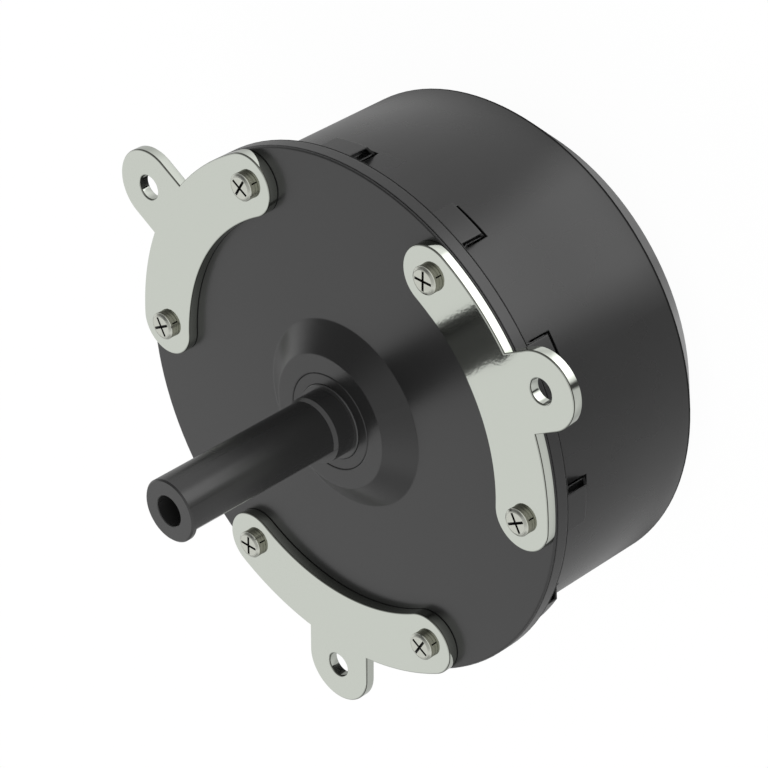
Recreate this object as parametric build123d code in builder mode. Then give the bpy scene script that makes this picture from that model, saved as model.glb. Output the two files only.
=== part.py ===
from build123d import *
import math
import os

# Brushless hub motor: a closed drum turns on two ball bearings about a fixed hollow shaft.
# Millimetres. The shaft points along +Z, and the drum's closed rear face lies at z = 0.

# Drum and cover
drum_depth = 44.5
drum_radius = 44.7
drum_wall = 2.0
rear_wall = 2.4
rear_chamfer_length = 7.3
rear_chamfer_inset = 6.4
rear_corner_wall = 1.4
rear_ring_radius = 18.0
rear_ring_width = 1.4
rear_ring_depth = 0.6
rim_overhang = 3.3
rim_thickness = 3.3
rim_groove_width = 0.22
rim_groove_depth = 0.3
rim_groove_inset = 0.3
edge_break = 0.25
end_break = 0.3
cut_margin = 0.5
lip_depth = 3.0
lip_thickness = 1.6
rib_count = 6
rib_width = 1.6
rib_height = 1.8
rear_rib_clearance = 3.3

# Boss in the middle of the cover
boss_base_radius = 17.3
boss_top_radius = 12.4
boss_height = 3.55
seal_radius = 8.85
seal_inner_radius = 6.95
seal_thickness = 2.15
seam_break = 0.14

# Snap hooks behind the rim
hook_count = 11
hook_first_angle = 2.9
hook_half_angle = 4.4
hook_height = 2.1
hook_length = 5.4
hook_ramp = 1.9
hook_pocket_angle = 1.7
hook_lip = 0.3
gusset_length = 3.2
gusset_width = 1.3
gusset_height = 0.5
gusset_root = 0.2
catch_half_angle = 3.2
catch_depth = 1.8
catch_length = 2.1
catch_clearance = 0.15
window_side_gap = 0.3
window_rear_gap = 0.5
catch_nose = 0.4

# Mounting brackets and their screws
bracket_count = 3
bracket_thickness = 2.0
strap_width = 11.5
strap_half_angle = 30.0
ear_radius = 7.0
ear_reach = 4.6
ear_hole_radius = 2.25
bracket_break = 0.15
screw_count = 6
screw_radius = 1.5
screw_hole_radius = 1.6
screw_depth = 2.9
washer_radius = 2.95
washer_height = 0.85
washer_split = 0.35
washer_split_depth = 0.45
head_gap = 0.1
head_neck_radius = 2.35
head_radius = 2.65
head_side = 0.5
head_face_radius = 2.05
head_height = 1.8
recess_length = 3.8
recess_width = 0.42
recess_depth = 0.9
recess_turn = 30.0

# Shaft
shaft_radius = 6.0
shaft_foot = 3.4
neck_height = 7.45
neck_taper = 0.75
tube_radius = 5.65
tip_height = 40.25
tip_disc = 1.0
tip_break = 0.28
bore_radius = 2.75
bore_break = 0.12
flat_distance = 4.7
flat_angle = -75.0
cable_window_drop = 1.3
cable_window_height = 4.0
cable_window_width = 4.2
groove_radius = 5.6
ring_radius = 7.7
ring_thickness = 1.0
ring_gap = 50.0
sleeve_radius = 6.85
sleeve_stand = 0.3
sleeve_break = 0.15

# Ball bearings, 12 by 24 by 6
bearing_radius = 12.0
bearing_width = 6.0
inner_ring_radius = 8.1
outer_ring_inner = 10.0
ball_circle = 9.05
ball_radius = 1.7
race_radius = 1.76
ball_count = 8
cage_inner = 8.5
cage_outer = 9.6
cage_below = 2.2
cage_above = 0.9
wave_washer_height = 0.6
wave_washer_inner = 9.8
rear_bearing_seat = 3.0
front_bearing_depth = 5.0
bearing_hub_wall = 2.6
bearing_shoulder = 2.4
hub_relief = 0.2
hub_overhang = 0.3
wave_washer_clearance = 0.1

# Magnet ring
back_iron_thickness = 2.0
back_iron_rear_reach = 3.0
back_iron_front_reach = 2.0
back_iron_ledge = 1.2
back_iron_ledge_rise = 0.9
magnet_count = 14
magnet_thickness = 2.4
magnet_half_angle = 11.4
magnet_rear_reach = 2.0
magnet_front_reach = 1.0

# Stator
air_gap = 0.7
stack_low = 13.0
stack_front_space = 13.5
tooth_count = 12
tooth_width = 5.6
shoe_thickness = 2.4
shoe_half_angle = 12.3
tooth_root = 0.9
yoke_outer = 20.5
yoke_inner = 14.0
carrier_flange = 15.4
carrier_stand = 2.0
carrier_rear_break = 0.8
carrier_break = 0.6
insulator_thickness = 1.2
insulator_tooth_width = 6.4
insulator_inner = 15.8
insulator_outer = 21.0
insulator_wall = 1.2
insulator_wall_height = 3.2
insulator_wall_half_angle = 9.0
insulator_overlap = 0.8
insulator_step = 0.2
coil_inner = 21.2
coil_shoe_gap = 1.0
coil_half_inner = 5.1
coil_outer_half_angle = 11.4
coil_build = 2.2
coil_rounding = 1.7
coil_cut_margin = 1.0

# Sensor board
board_thickness = 1.6
board_stand = 4.0
board_inner = 15.6
board_edge_inset = 0.8
post_count = 3
post_circle = 18.2
post_radius = 1.7
board_screw_radius = 0.9
board_head_radius = 1.7
board_head_height = 1.0
board_screw_rise = 1.0
board_screw_clearance = 0.1
hall_count = 3
hall_spacing = 60.0
hall_inset = 2.2
hall_width = 2.2
hall_thickness = 1.4
hall_length = 3.0
chip_count = 3
chip_first_angle = 60.0
chip_circle = 27.0
chip_size = 5.0
chip_height = 0.9

# Heights and radii that follow from the sizes above
rim_back = drum_depth - rim_thickness
rim_groove_high = drum_depth - rim_groove_inset
rim_groove_low = rim_back + rim_groove_inset
plateau = drum_depth + boss_height
drum_bore = drum_radius - drum_wall
disc_radius = drum_radius + rim_overhang
strap_radius = disc_radius - strap_width / 2
ear_hole_circle = disc_radius + ear_reach
rear_rib_end = drum_radius - rear_chamfer_inset - rear_rib_clearance
bracket_top = drum_depth + bracket_thickness
neck_top = drum_depth + neck_height
taper_top = neck_top + neck_taper
tip = drum_depth + tip_height
rear_bearing_low = rear_bearing_seat + wave_washer_height
rear_bearing_high = rear_bearing_low + bearing_width
front_bearing_low = drum_depth - front_bearing_depth
front_bearing_high = front_bearing_low + bearing_width
cable_window_high = front_bearing_low - cable_window_drop
cable_window_low = cable_window_high - cable_window_height
carrier_low = rear_bearing_high + ring_thickness
magnet_outer = drum_bore - back_iron_thickness
magnet_inner = magnet_outer - magnet_thickness
stator_radius = magnet_inner - air_gap
stack_high = drum_depth - stack_front_space
carrier_high = stack_high + carrier_stand
back_iron_low = stack_low - back_iron_rear_reach
back_iron_high = stack_high + back_iron_front_reach
magnet_low = stack_low - magnet_rear_reach
magnet_high = stack_high + magnet_front_reach
insulator_high = stack_high + insulator_thickness
insulator_low = stack_low - insulator_thickness
board_low = insulator_high + board_stand
board_high = board_low + board_thickness
hook_top = drum_radius + hook_height
hook_end = rim_back - hook_length
hub_outer = bearing_radius + bearing_hub_wall
shoe_inner = stator_radius - shoe_thickness
coil_outer = shoe_inner - coil_shoe_gap
coil_half_outer = coil_outer * math.tan(math.radians(coil_outer_half_angle))
board_outer = shoe_inner - board_edge_inset
hall_circle = shoe_inner - hall_inset

os.makedirs("parts", exist_ok=True)


def level(height, angle=0.0):
    """Level plane at a height, turned about the motor axis."""
    turn = math.radians(angle)
    return Plane(origin=(0, 0, height), x_dir=(math.cos(turn), math.sin(turn), 0), z_dir=(0, 0, 1))


def upright(angle=0.0):
    """Plane through the motor axis: x is the radius and y is the height."""
    turn = math.radians(angle)
    return Plane(
        origin=(0, 0, 0),
        x_dir=(math.cos(turn), math.sin(turn), 0),
        z_dir=(math.sin(turn), -math.cos(turn), 0),
    )


def outline(*points):
    """Closed straight-sided profile in the current sketch."""
    Polygon(*points, align=None)


def band(inner, outer, low, high):
    """Rectangular ring profile in an upright sketch."""
    outline((inner, low), (outer, low), (outer, high), (inner, high))


def sector(inner, outer, half_angle):
    """Face of a ring sector, centred on x."""
    with BuildSketch() as piece:
        with BuildLine():
            far = CenterArc((0, 0), outer, -half_angle, 2 * half_angle)
            near = CenterArc((0, 0), inner, -half_angle, 2 * half_angle)
            Line(near @ 0, far @ 0)
            Line(near @ 1, far @ 1)
        make_face()
    return piece.sketch


# Drum with its rear bearing seat, inner ribs and the windows that the hooks catch in
with BuildPart() as housing:
    with BuildSketch(upright()):
        outline(
            (0, 0),
            (drum_radius - rear_chamfer_inset, 0),
            (drum_radius, rear_chamfer_length),
            (drum_radius, rim_back),
            (drum_bore, rim_back),
            (drum_bore, back_iron_low),
            (drum_bore - back_iron_ledge, back_iron_low),
            (drum_bore - back_iron_ledge, rear_chamfer_length + back_iron_ledge_rise),
            (drum_radius - rear_chamfer_inset - rear_corner_wall, rear_wall),
            (hub_outer, rear_wall),
            (hub_outer, rear_bearing_high),
            (bearing_radius, rear_bearing_high),
            (bearing_radius, rear_bearing_seat),
            (bearing_radius - bearing_shoulder, rear_bearing_seat),
            (bearing_radius - bearing_shoulder, rear_wall - hub_relief),
            (0, rear_wall - hub_relief),
        )
    revolve(axis=Axis.Z)
    with BuildSketch(level(0)):
        Circle(rear_ring_radius + rear_ring_width)
        Circle(rear_ring_radius, mode=Mode.SUBTRACT)
    extrude(amount=rear_ring_depth, mode=Mode.SUBTRACT)
    for number in range(rib_count):
        with BuildSketch(level(rear_wall, 360 * number / rib_count)):
            with Locations(((hub_outer + rear_rib_end) / 2, 0)):
                Rectangle(rear_rib_end - hub_outer + 2 * cut_margin, rib_width)
        extrude(amount=rib_height)
    for number in range(hook_count):
        middle = hook_first_angle + 360 * number / hook_count
        window = hook_half_angle + window_side_gap
        with BuildSketch(upright(middle - window)):
            band(
                drum_bore - cut_margin,
                drum_radius + cut_margin,
                hook_end - hook_ramp - window_rear_gap,
                hook_end + catch_length + catch_clearance,
            )
        revolve(axis=Axis.Z, revolution_arc=2 * window, mode=Mode.SUBTRACT)
housing.part.label = "housing"
export_step(housing.part, "parts/housing.step")

# Front cover: disc, conical boss, bearing seat, locating lip, ribs and the snap hooks
with BuildPart() as front_cover:
    with BuildSketch(upright()):
        outline(
            (seal_radius, front_bearing_high),
            (seal_radius, plateau - seam_break),
            (seal_radius + seam_break, plateau),
            (boss_top_radius, plateau),
            (boss_base_radius, drum_depth),
            (disc_radius - edge_break, drum_depth),
            (disc_radius, drum_depth - edge_break),
            (disc_radius, rim_groove_high),
            (disc_radius - rim_groove_depth, rim_groove_high),
            (disc_radius - rim_groove_depth, rim_groove_high - rim_groove_width),
            (disc_radius, rim_groove_high - rim_groove_width),
            (disc_radius, rim_groove_low + rim_groove_width),
            (disc_radius - rim_groove_depth, rim_groove_low + rim_groove_width),
            (disc_radius - rim_groove_depth, rim_groove_low),
            (disc_radius, rim_groove_low),
            (disc_radius, rim_back + edge_break),
            (disc_radius - edge_break, rim_back),
            (drum_bore, rim_back),
            (drum_bore, rim_back - lip_depth),
            (drum_bore - lip_thickness, rim_back - lip_depth),
            (drum_bore - lip_thickness, rim_back),
            (hub_outer, rim_back),
            (hub_outer, front_bearing_low - hub_overhang),
            (bearing_radius, front_bearing_low - hub_overhang),
            (bearing_radius, front_bearing_high),
        )
    revolve(axis=Axis.Z)
    for number in range(rib_count):
        rib_end = drum_bore - lip_thickness + cut_margin
        with BuildSketch(level(rim_back - rib_height, 360 * number / rib_count)):
            with Locations(((hub_outer + rib_end) / 2, 0)):
                Rectangle(rib_end - hub_outer + 2 * cut_margin, rib_width)
        extrude(amount=rib_height)
    for number in range(hook_count):
        middle = hook_first_angle + 360 * number / hook_count
        with BuildSketch(upright(middle - hook_half_angle)):
            outline(
                (drum_radius, rim_back),
                (hook_top, rim_back),
                (hook_top, hook_end),
                (drum_radius, hook_end - hook_ramp),
            )
        revolve(axis=Axis.Z, revolution_arc=2 * hook_half_angle)
        with BuildSketch(upright(middle - catch_half_angle)):
            outline(
                (drum_radius, hook_end),
                (drum_radius, hook_end + catch_length),
                (drum_radius - catch_depth, hook_end + catch_length),
                (drum_radius - catch_nose, hook_end),
            )
        revolve(axis=Axis.Z, revolution_arc=2 * catch_half_angle)
        for side in (-1, 1):
            edge = middle + side * hook_half_angle
            start = min(edge, edge - side * hook_pocket_angle)
            with BuildSketch(upright(start)):
                outline(
                    (drum_radius + hook_lip, rim_back),
                    (hook_top - hook_lip, rim_back),
                    (hook_top - hook_lip, hook_end + hook_lip),
                    (drum_radius + hook_lip, hook_end - hook_ramp + 3 * hook_lip),
                )
            revolve(axis=Axis.Z, revolution_arc=hook_pocket_angle, mode=Mode.SUBTRACT)
            flare = Plane(
                origin=(
                    drum_radius * math.cos(math.radians(edge)),
                    drum_radius * math.sin(math.radians(edge)),
                    rim_back,
                ),
                x_dir=(-side * math.sin(math.radians(edge)), side * math.cos(math.radians(edge)), 0),
                z_dir=(math.cos(math.radians(edge)), math.sin(math.radians(edge)), 0),
            )
            drop = -side * gusset_length
            with BuildSketch(flare):
                outline((-gusset_root, 0), (gusset_width, 0), (-gusset_root, drop))
            extrude(amount=gusset_height)
    for number in range(screw_count):
        with BuildSketch(level(drum_depth, strap_half_angle + 360 * number / screw_count)):
            with Locations((strap_radius, 0)):
                Circle(screw_radius)
        extrude(amount=-screw_depth, mode=Mode.SUBTRACT)
front_cover.part.label = "front_cover"
export_step(front_cover.part, "parts/front_cover.step")

# Three polished brackets: an arc strap with round ends and one ear with a hole
for number in range(bracket_count):
    with BuildPart() as bracket:
        with BuildSketch(level(drum_depth, 360 * number / bracket_count)):
            with BuildLine():
                middle_line = CenterArc((0, 0), strap_radius, -strap_half_angle, 2 * strap_half_angle)
            SlotArc(arc=middle_line, height=strap_width)
            with Locations(((strap_radius + ear_hole_circle) / 2, 0)):
                Rectangle(ear_hole_circle - strap_radius, 2 * ear_radius)
            with Locations((ear_hole_circle, 0)):
                Circle(ear_radius)
                Circle(ear_hole_radius, mode=Mode.SUBTRACT)
            for side in (-1, 1):
                with PolarLocations(strap_radius, 1, start_angle=side * strap_half_angle):
                    Circle(screw_hole_radius, mode=Mode.SUBTRACT)
        extrude(amount=bracket_thickness)
        chamfer(bracket.faces().sort_by(Axis.Z)[-1].edges(), length=bracket_break)
    bracket.part.label = f"bracket_{number + 1}"
    export_step(bracket.part, f"parts/bracket_{number + 1}.step")

# Six cross-recessed screws, each with its spring washer under the head
for number in range(screw_count):
    screw_angle = strap_half_angle + 360 * number / screw_count
    foot = drum_depth - screw_depth
    washer_top = bracket_top + washer_height
    head_low = washer_top + head_gap
    head_top = bracket_top + head_height
    centre = level(0, screw_angle).from_local_coords((strap_radius, 0, 0))
    turned = upright(screw_angle + recess_turn)
    profile_plane = Plane(origin=centre, x_dir=turned.x_dir, z_dir=turned.z_dir)
    head_plane = Plane(origin=(centre.X, centre.Y, head_top), x_dir=turned.x_dir, z_dir=(0, 0, 1))
    with BuildPart() as screw:
        with BuildSketch(profile_plane):
            outline(
                (0, foot),
                (screw_radius - end_break, foot),
                (screw_radius, foot + end_break),
                (screw_radius, bracket_top),
                (washer_radius, bracket_top),
                (washer_radius, washer_top),
                (head_neck_radius, washer_top),
                (head_neck_radius, head_low),
                (head_radius, head_low),
                (head_radius, head_low + head_side),
                (head_face_radius, head_top),
                (0, head_top),
            )
        revolve(axis=Axis((centre.X, centre.Y, 0), (0, 0, 1)))
        with BuildSketch(head_plane):
            Rectangle(recess_length, recess_width)
            Rectangle(recess_width, recess_length)
        extrude(amount=-recess_depth, mode=Mode.SUBTRACT)
        with BuildSketch(head_plane.offset(washer_top - head_top)):
            with Locations((0, -washer_radius)):
                Rectangle(washer_split, 2 * washer_split_depth)
        extrude(amount=-washer_height, mode=Mode.SUBTRACT)
    screw.part.label = f"screw_{number + 1}"
    export_step(screw.part, f"parts/screw_{number + 1}.step")

# Hollow shaft: bearing seats, circlip grooves, tapered neck shoulder, cable bore and its window
with BuildPart() as shaft:
    with BuildSketch(upright()):
        outline(
            (0, shaft_foot),
            (shaft_radius - end_break, shaft_foot),
            (shaft_radius, shaft_foot + end_break),
            (shaft_radius, neck_top),
            (tube_radius, taper_top),
            (tube_radius, tip - tip_break),
            (tube_radius - tip_break, tip),
            (bore_radius + bore_break, tip),
            (bore_radius, tip - bore_break),
            (bore_radius, cable_window_low),
            (0, cable_window_low),
        )
    revolve(axis=Axis.Z)
    for groove_low in (rear_bearing_high, carrier_high, front_bearing_low - ring_thickness):
        with BuildSketch(upright()):
            band(groove_radius, shaft_radius + cut_margin, groove_low, groove_low + ring_thickness)
        revolve(axis=Axis.Z, mode=Mode.SUBTRACT)
    with BuildSketch(level(cable_window_low)):
        with Locations((shaft_radius / 2 + 2 * cut_margin, 0)):
            Rectangle(shaft_radius, cable_window_width)
    extrude(amount=cable_window_high - cable_window_low, mode=Mode.SUBTRACT)
    with BuildSketch(level(neck_top, flat_angle)):
        with Locations((flat_distance + shaft_radius / 2, 0)):
            Rectangle(shaft_radius, 3 * shaft_radius)
    extrude(amount=tip - tip_disc - neck_top, mode=Mode.SUBTRACT)
shaft.part.label = "shaft"
export_step(shaft.part, "parts/shaft.step")

# Open circlips in the shaft's three grooves
for label, ring_low in (
    ("retaining_ring_rear", rear_bearing_high),
    ("retaining_ring_stator", carrier_high),
    ("retaining_ring_front", front_bearing_low - ring_thickness),
):
    with BuildPart() as retaining_ring:
        with BuildSketch(level(ring_low, 180)):
            add(sector(groove_radius, ring_radius, 180 - ring_gap / 2))
        extrude(amount=ring_thickness)
    retaining_ring.part.label = label
    export_step(retaining_ring.part, f"parts/{label}.step")

# Two ball bearings, each with its rings, cage and balls
for place, bearing_low in (("rear", rear_bearing_low), ("front", front_bearing_low)):
    bearing_middle = bearing_low + bearing_width / 2
    with BuildPart() as inner_ring:
        with BuildSketch(upright()):
            band(shaft_radius, inner_ring_radius, bearing_low, bearing_low + bearing_width)
            with Locations((ball_circle, bearing_middle)):
                Circle(race_radius, mode=Mode.SUBTRACT)
        revolve(axis=Axis.Z)
    inner_ring.part.label = f"{place}_bearing_inner_ring"
    export_step(inner_ring.part, f"parts/{place}_bearing_inner_ring.step")
    with BuildPart() as outer_ring:
        with BuildSketch(upright()):
            band(outer_ring_inner, bearing_radius, bearing_low, bearing_low + bearing_width)
            with Locations((ball_circle, bearing_middle)):
                Circle(race_radius, mode=Mode.SUBTRACT)
        revolve(axis=Axis.Z)
    outer_ring.part.label = f"{place}_bearing_outer_ring"
    export_step(outer_ring.part, f"parts/{place}_bearing_outer_ring.step")
    with BuildPart(level(bearing_middle)) as balls:
        with PolarLocations(ball_circle, ball_count):
            Sphere(ball_radius)
    balls.part.label = f"{place}_bearing_balls"
    export_step(balls.part, f"parts/{place}_bearing_balls.step")
    with BuildPart(level(bearing_middle)) as cage:
        with BuildSketch(level(bearing_middle - cage_below)):
            Circle(cage_outer)
            Circle(cage_inner, mode=Mode.SUBTRACT)
        extrude(amount=cage_below + cage_above)
        with PolarLocations(ball_circle, ball_count):
            Sphere(ball_radius, rotation=(0, 0, 90), mode=Mode.SUBTRACT)
    cage.part.label = f"{place}_bearing_cage"
    export_step(cage.part, f"parts/{place}_bearing_cage.step")

# Spring washer that preloads the rear bearing
with BuildPart() as wave_washer:
    with BuildSketch(upright()):
        band(wave_washer_inner, bearing_radius - wave_washer_clearance, rear_bearing_seat, rear_bearing_low)
    revolve(axis=Axis.Z)
wave_washer.part.label = "wave_washer"
export_step(wave_washer.part, "parts/wave_washer.step")

# Dust seal, flush in the boss, and the fixed sleeve inside it
with BuildPart() as dust_seal:
    with BuildSketch(upright()):
        outline(
            (seal_inner_radius, plateau - seal_thickness),
            (seal_radius, plateau - seal_thickness),
            (seal_radius, plateau - seam_break),
            (seal_radius - seam_break, plateau),
            (seal_inner_radius, plateau),
        )
    revolve(axis=Axis.Z)
dust_seal.part.label = "dust_seal"
export_step(dust_seal.part, "parts/dust_seal.step")

with BuildPart() as spacer_sleeve:
    with BuildSketch(upright()):
        outline(
            (shaft_radius, front_bearing_high),
            (sleeve_radius, front_bearing_high),
            (sleeve_radius, plateau + sleeve_stand - sleeve_break),
            (sleeve_radius - sleeve_break, plateau + sleeve_stand),
            (shaft_radius, plateau + sleeve_stand),
        )
    revolve(axis=Axis.Z)
spacer_sleeve.part.label = "spacer_sleeve"
export_step(spacer_sleeve.part, "parts/spacer_sleeve.step")

# Back iron and the magnets inside it, of alternate polarity
with BuildPart() as back_iron_ring:
    with BuildSketch(upright()):
        band(magnet_outer, drum_bore, back_iron_low, back_iron_high)
    revolve(axis=Axis.Z)
back_iron_ring.part.label = "back_iron_ring"
export_step(back_iron_ring.part, "parts/back_iron_ring.step")

for polarity, label in enumerate(("magnets_north", "magnets_south")):
    with BuildPart() as magnets:
        for number in range(polarity, magnet_count, 2):
            with BuildSketch(level(magnet_low, 360 * number / magnet_count)):
                add(sector(magnet_inner, magnet_outer, magnet_half_angle))
            extrude(amount=magnet_high - magnet_low)
    magnets.part.label = label
    export_step(magnets.part, f"parts/{label}.step")

# Laminated stator core with its wound teeth
with BuildPart() as stator_core:
    with BuildSketch(level(stack_low)):
        Circle(yoke_outer)
        for number in range(tooth_count):
            tooth_angle = 360 * number / tooth_count
            with Locations(Location((0, 0, 0), (0, 0, tooth_angle))):
                with Locations(((yoke_outer - tooth_root + shoe_inner + cut_margin) / 2, 0)):
                    Rectangle(shoe_inner - yoke_outer + tooth_root + cut_margin, tooth_width)
                add(sector(shoe_inner, stator_radius, shoe_half_angle))
        Circle(yoke_inner, mode=Mode.SUBTRACT)
    extrude(amount=stack_high - stack_low)
stator_core.part.label = "stator_core"
export_step(stator_core.part, "parts/stator_core.step")

# Flanged carrier that holds the core on the shaft
with BuildPart() as stator_carrier:
    with BuildSketch(upright()):
        outline(
            (shaft_radius, carrier_low),
            (yoke_inner, carrier_low),
            (carrier_flange, carrier_low + carrier_rear_break),
            (carrier_flange, stack_low),
            (yoke_inner, stack_low),
            (yoke_inner, carrier_high - carrier_break),
            (yoke_inner - carrier_break, carrier_high),
            (shaft_radius, carrier_high),
        )
    revolve(axis=Axis.Z)
stator_carrier.part.label = "stator_carrier"
export_step(stator_carrier.part, "parts/stator_carrier.step")

# Moulded slot insulators on both ends of the core
for label, flange_low, wall_low in (
    ("insulator_rear", insulator_low, insulator_low - insulator_wall_height),
    ("insulator_front", stack_high, insulator_high),
):
    with BuildPart() as insulator:
        with BuildSketch(level(flange_low)):
            Circle(insulator_outer)
            for number in range(tooth_count):
                with Locations(Location((0, 0, 0), (0, 0, 360 * number / tooth_count))):
                    with Locations(((insulator_outer + shoe_inner) / 2, 0)):
                        Rectangle(shoe_inner - insulator_outer + 2 * insulator_overlap, insulator_tooth_width)
                    add(sector(shoe_inner, shoe_inner + insulator_wall, insulator_wall_half_angle))
            Circle(insulator_inner, mode=Mode.SUBTRACT)
        extrude(amount=insulator_thickness)
        with BuildSketch(level(wall_low)):
            Circle(insulator_outer - insulator_step)
            Circle(insulator_outer - insulator_wall, mode=Mode.SUBTRACT)
            for number in range(tooth_count):
                with Locations(Location((0, 0, 0), (0, 0, 360 * number / tooth_count))):
                    add(sector(shoe_inner, shoe_inner + insulator_wall, insulator_wall_half_angle))
        extrude(amount=insulator_wall_height)
        if label == "insulator_front":
            with BuildSketch(level(insulator_high)):
                with PolarLocations(post_circle, post_count):
                    Circle(post_radius)
            extrude(amount=board_low - insulator_high)
            with BuildSketch(level(insulator_high)):
                with PolarLocations(post_circle, post_count):
                    Circle(board_screw_radius)
            extrude(amount=board_low - insulator_high, mode=Mode.SUBTRACT)
    insulator.part.label = label
    export_step(insulator.part, f"parts/{label}.step")

# Twelve tapered coils, one on each tooth
for number in range(tooth_count):
    tooth_angle = 360 * number / tooth_count
    coil_low = insulator_low - coil_build
    coil_high = insulator_high + coil_build
    with BuildPart() as coil:
        with BuildSketch(level(coil_low, tooth_angle)):
            outline(
                (coil_inner, -coil_half_inner),
                (coil_outer, -coil_half_outer),
                (coil_outer, coil_half_outer),
                (coil_inner, coil_half_inner),
            )
        extrude(amount=coil_high - coil_low)
        fillet(coil.edges().filter_by(Axis.Z, reverse=True), radius=coil_rounding)
        with BuildSketch(level(insulator_low, tooth_angle)):
            with Locations(((coil_inner + coil_outer) / 2, 0)):
                Rectangle(coil_outer - coil_inner + 2 * coil_cut_margin, insulator_tooth_width)
        extrude(amount=insulator_high - insulator_low, mode=Mode.SUBTRACT)
    coil.part.label = f"coil_{number + 1}"
    export_step(coil.part, f"parts/coil_{number + 1}.step")

# Sensor board on three posts, with its screws, hall sensors and driver chips
with BuildPart() as sensor_board:
    with BuildSketch(level(board_low)):
        Circle(board_outer)
        Circle(board_inner, mode=Mode.SUBTRACT)
        with PolarLocations(post_circle, post_count):
            Circle(board_screw_radius + board_screw_clearance, mode=Mode.SUBTRACT)
    extrude(amount=board_thickness)
sensor_board.part.label = "sensor_board"
export_step(sensor_board.part, "parts/sensor_board.step")

with BuildPart() as board_screws:
    with BuildSketch(level(insulator_high + board_screw_rise)):
        with PolarLocations(post_circle, post_count):
            Circle(board_screw_radius)
    extrude(amount=board_high - insulator_high - board_screw_rise)
    with BuildSketch(level(board_high)):
        with PolarLocations(post_circle, post_count):
            Circle(board_head_radius)
    extrude(amount=board_head_height)
board_screws.part.label = "board_screws"
export_step(board_screws.part, "parts/board_screws.step")

slot_angle = 180 / tooth_count
with BuildPart() as hall_sensors:
    for number in range(hall_count):
        with BuildSketch(level(board_low - hall_length, slot_angle + hall_spacing * number)):
            with Locations((hall_circle, 0)):
                Rectangle(hall_thickness, hall_width)
        extrude(amount=hall_length)
hall_sensors.part.label = "hall_sensors"
export_step(hall_sensors.part, "parts/hall_sensors.step")

with BuildPart() as driver_chips:
    for number in range(chip_count):
        with BuildSketch(level(board_high, chip_first_angle + 360 * number / chip_count)):
            with Locations((chip_circle, 0)):
                Rectangle(chip_size, chip_size)
        extrude(amount=chip_height)
driver_chips.part.label = "driver_chips"
export_step(driver_chips.part, "parts/driver_chips.step")
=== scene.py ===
import math

import bpy
from mathutils import Matrix, Vector
from mathutils.geometry import tessellate_polygon


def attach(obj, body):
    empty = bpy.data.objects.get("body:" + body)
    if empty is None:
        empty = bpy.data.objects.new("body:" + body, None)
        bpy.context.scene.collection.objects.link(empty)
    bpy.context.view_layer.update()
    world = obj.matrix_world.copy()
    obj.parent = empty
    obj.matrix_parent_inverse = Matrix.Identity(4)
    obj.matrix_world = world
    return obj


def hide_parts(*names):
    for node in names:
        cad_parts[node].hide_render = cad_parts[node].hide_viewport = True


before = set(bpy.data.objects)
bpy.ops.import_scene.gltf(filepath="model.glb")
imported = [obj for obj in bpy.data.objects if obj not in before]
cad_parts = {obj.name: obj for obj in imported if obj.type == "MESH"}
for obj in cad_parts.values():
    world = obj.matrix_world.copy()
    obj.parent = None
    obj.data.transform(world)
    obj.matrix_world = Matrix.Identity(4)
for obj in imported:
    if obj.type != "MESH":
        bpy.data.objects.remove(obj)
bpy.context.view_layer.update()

bl_info = {
    "name": "Brushless hub motor",
    "version": (1, 0, 0),
    "blender": (4, 5, 0),
    "location": "View3D > Sidebar > Hub motor",
    "description": "Gives the hub motor its finishes, its detailed brackets and screws, and a stage",
    "category": "Add Mesh",
}

MM = 0.001


def node_heights(name):
    """Lowest and highest point of a CAD node in millimetres."""
    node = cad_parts[name]
    heights = [(node.matrix_world @ Vector(corner)).z / MM for corner in node.bound_box]
    return round(min(heights), 3), round(max(heights), 3)


# Brackets, in millimetres: an arc strap round the motor's axis, with an ear on its outer side
COVER_FACE, BRACKET_TOP = node_heights("bracket_1")
STRAP_RADIUS = 42.25
STRAP_HALF = 5.75
STRAP_ANGLE = 30.0
EAR_CENTRE = 52.6
EAR_RADIUS = 7.0
EAR_HOLE = 2.25
SCREW_HOLE = 1.6
EDGE_STEPS = 4

# Screws, in millimetres, with heights above the bracket
SHANK_RADIUS = 1.45
SHANK_DEPTH = 2.8
WASHER_INNER = 1.6
WASHER_RADIUS = 2.5
WASHER_TOP = 0.56
WASHER_SPLIT = 3.0
HEAD_LOW = 0.58
HEAD_RADIUS = 2.53
HEAD_SIDE = 1.0
HEAD_TOP = 1.37
RECESS_DEPTH = 0.69
RECESS_TURN = 30.0

# Height at which the drum's side meets its rear chamfer, in millimetres
CHAMFER_TOP = 7.3


# Helpers for meshes

def build_mesh(name, verts, faces, body, material, sharp):
    """Object from millimetre coordinates, smooth but for its sharp edges, riding on a body."""
    mesh = bpy.data.meshes.new(name)
    mesh.from_pydata([(x * MM, y * MM, z * MM) for x, y, z in verts], [], faces)
    mesh.validate()
    mesh.shade_smooth()
    mesh.set_sharp_from_angle(angle=math.radians(sharp))
    mesh.materials.append(material)
    piece = bpy.data.objects.new(name, mesh)
    bpy.context.scene.collection.objects.link(piece)
    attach(piece, body)
    return piece


def tint(piece, material, chosen):
    """Gives the faces with those numbers another material."""
    piece.data.materials.append(material)
    for number in chosen:
        piece.data.polygons[number].material_index = len(piece.data.materials) - 1


def soften(corners, steps):
    """Profile points with each corner (x, y, radius) rounded by a small arc."""
    points = []
    count = len(corners)
    for i, (x, y, radius) in enumerate(corners):
        here = Vector((x, y))
        before = Vector(corners[i - 1][:2]) - here
        after = Vector(corners[(i + 1) % count][:2]) - here
        if radius <= 0:
            points.append((x, y))
            continue
        turn = before.angle(after)
        run = min(radius / math.tan(turn / 2), before.length * 0.49, after.length * 0.49)
        first = here + before.normalized() * run
        last = here + after.normalized() * run
        for step in range(steps + 1):
            t = step / steps
            point = first.lerp(here, t).lerp(here.lerp(last, t), t)
            points.append((point.x, point.y))
    return points


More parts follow.
